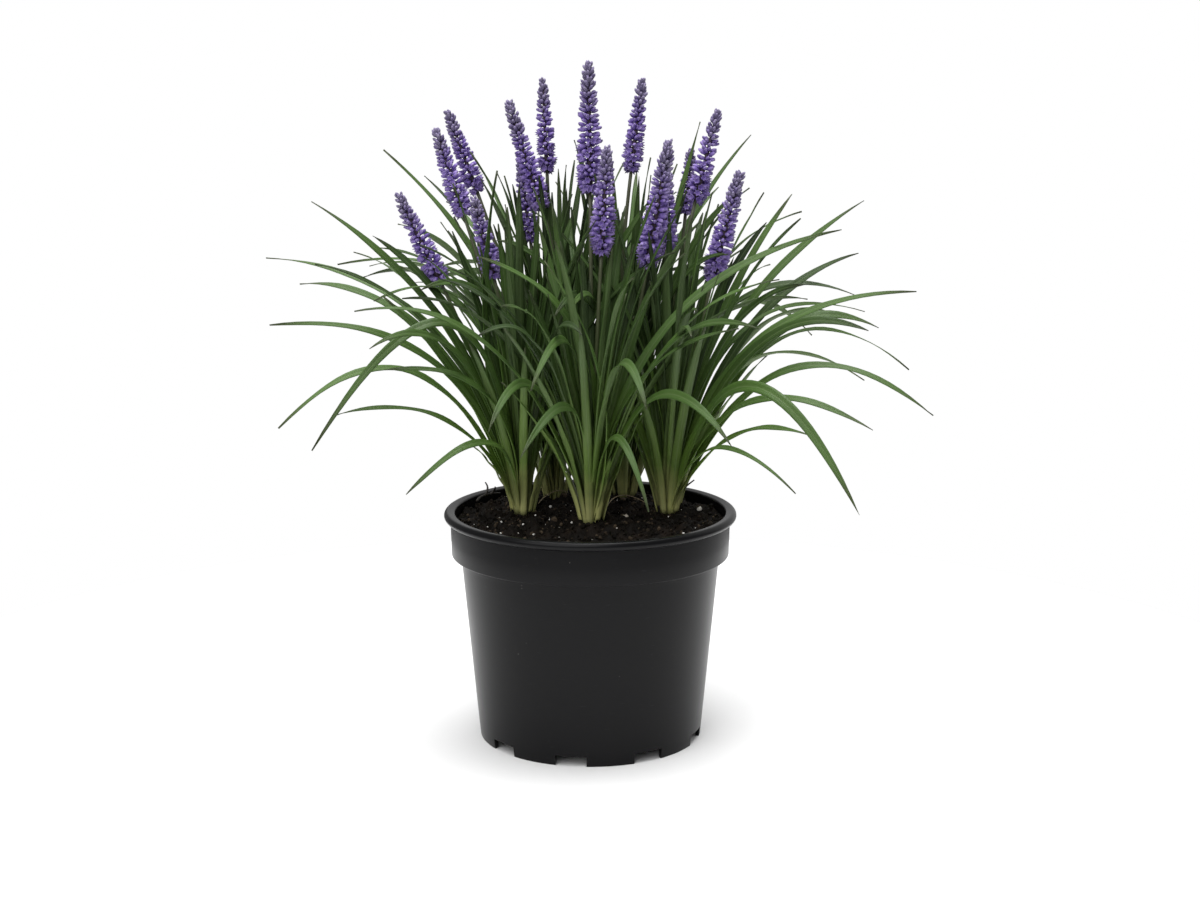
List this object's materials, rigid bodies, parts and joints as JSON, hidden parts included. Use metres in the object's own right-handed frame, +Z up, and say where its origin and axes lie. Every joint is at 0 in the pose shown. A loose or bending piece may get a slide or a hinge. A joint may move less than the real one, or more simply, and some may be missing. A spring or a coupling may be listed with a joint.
{
  "type": "potted liriope plant",
  "caption": "Clump of grassy strap leaves with upright spikes of small violet flowers, growing in soil in a tapered black plastic nursery pot.",
  "frame": {"origin": "on the surface that the pot stands on, under the middle of the pot, which is also the middle of the whole plant", "axes": "+Z up along the pot's axis, -Y the front of the plant as in the picture, +X to its right"},
  "size_m": [0.472, 0.343, 0.48],
  "materials": {
    "black_plastic": "satin near-black moulded plastic",
    "potting_soil": "dark crumbly peat and bark, matt",
    "leaf_green": "satin dark green strap leaf, pale at its base",
    "flower_violet": "soft violet petals and dusky buds"
  },
  "bodies": {
    "root": {"nursery_pot": "black_plastic", "potting_soil": "potting_soil", "leaf_tuft_front": "leaf_green", "leaf_tuft_left": "leaf_green", "leaf_tuft_right": "leaf_green", "leaf_tuft_back_left": "leaf_green", "leaf_tuft_back_right": "leaf_green", "flower_head_01": "flower_violet", "flower_head_02": "flower_violet", "flower_head_03": "flower_violet", "flower_head_04": "flower_violet", "flower_head_05": "flower_violet", "flower_head_06": "flower_violet", "flower_head_07": "flower_violet", "flower_head_08": "flower_violet", "flower_head_09": "flower_violet", "flower_head_10": "flower_violet", "flower_head_11": "flower_violet", "flower_head_12": "flower_violet", "flower_head_13": "flower_violet", "flower_head_14": "flower_violet", "flower_head_15": "flower_violet"}
  },
  "joints": []
}
